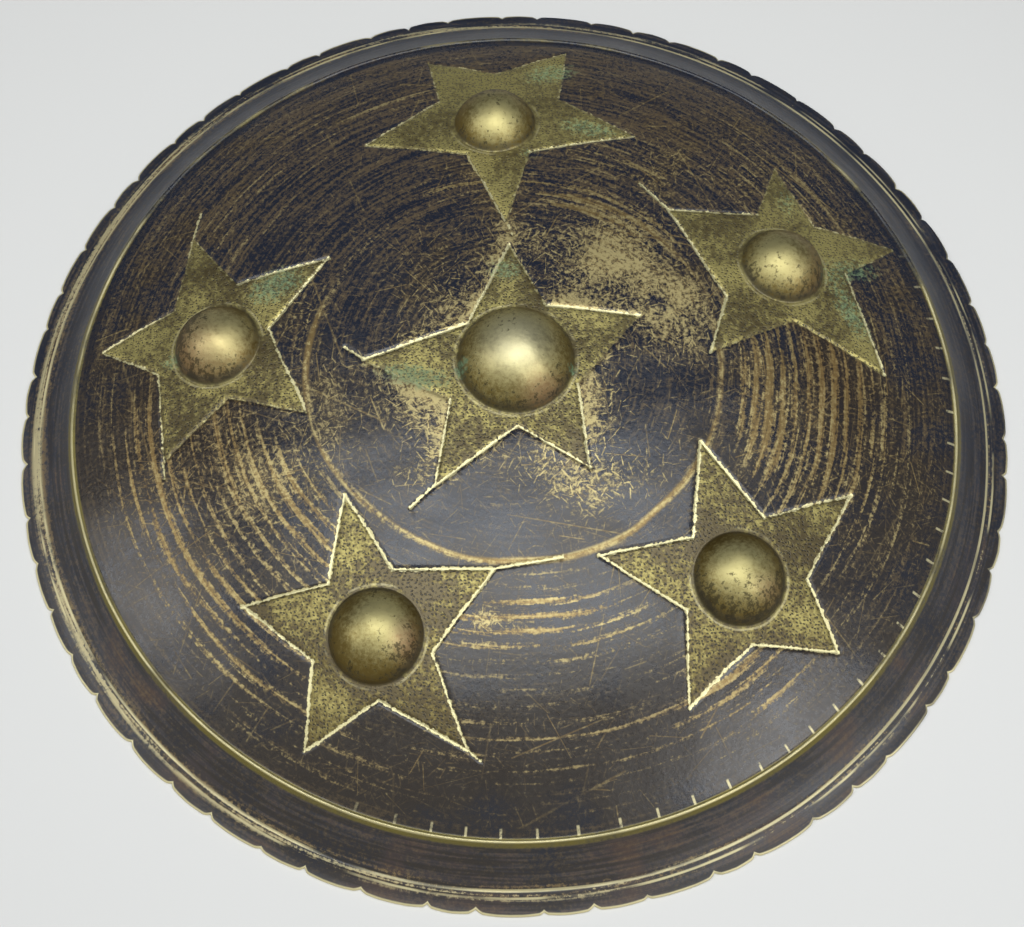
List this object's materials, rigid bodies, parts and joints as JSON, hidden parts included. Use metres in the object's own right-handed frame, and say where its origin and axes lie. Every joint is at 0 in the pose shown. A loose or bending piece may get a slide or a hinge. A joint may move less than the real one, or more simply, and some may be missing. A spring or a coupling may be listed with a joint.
{
  "type": "buckler shield",
  "caption": "Round raised brass buckler with a domed field, hollow bosses ringed by engraved five-pointed stars, a creased ring and a coved, petalled brim.",
  "frame": {"origin": "middle of the plane that the rim's underside lies on, under the centre boss", "axes": "+Z out of the shield's face through the centre boss, +Y towards the far side of the shield as it lies, +X to the right"},
  "size_m": [0.33, 0.33, 0.0473],
  "materials": {
    "patinated_brass": "near-black glossy patina worn through to dull brass along scratches, engraving and bosses"
  },
  "bodies": {
    "root": {"shield": "patinated_brass"}
  },
  "joints": []
}
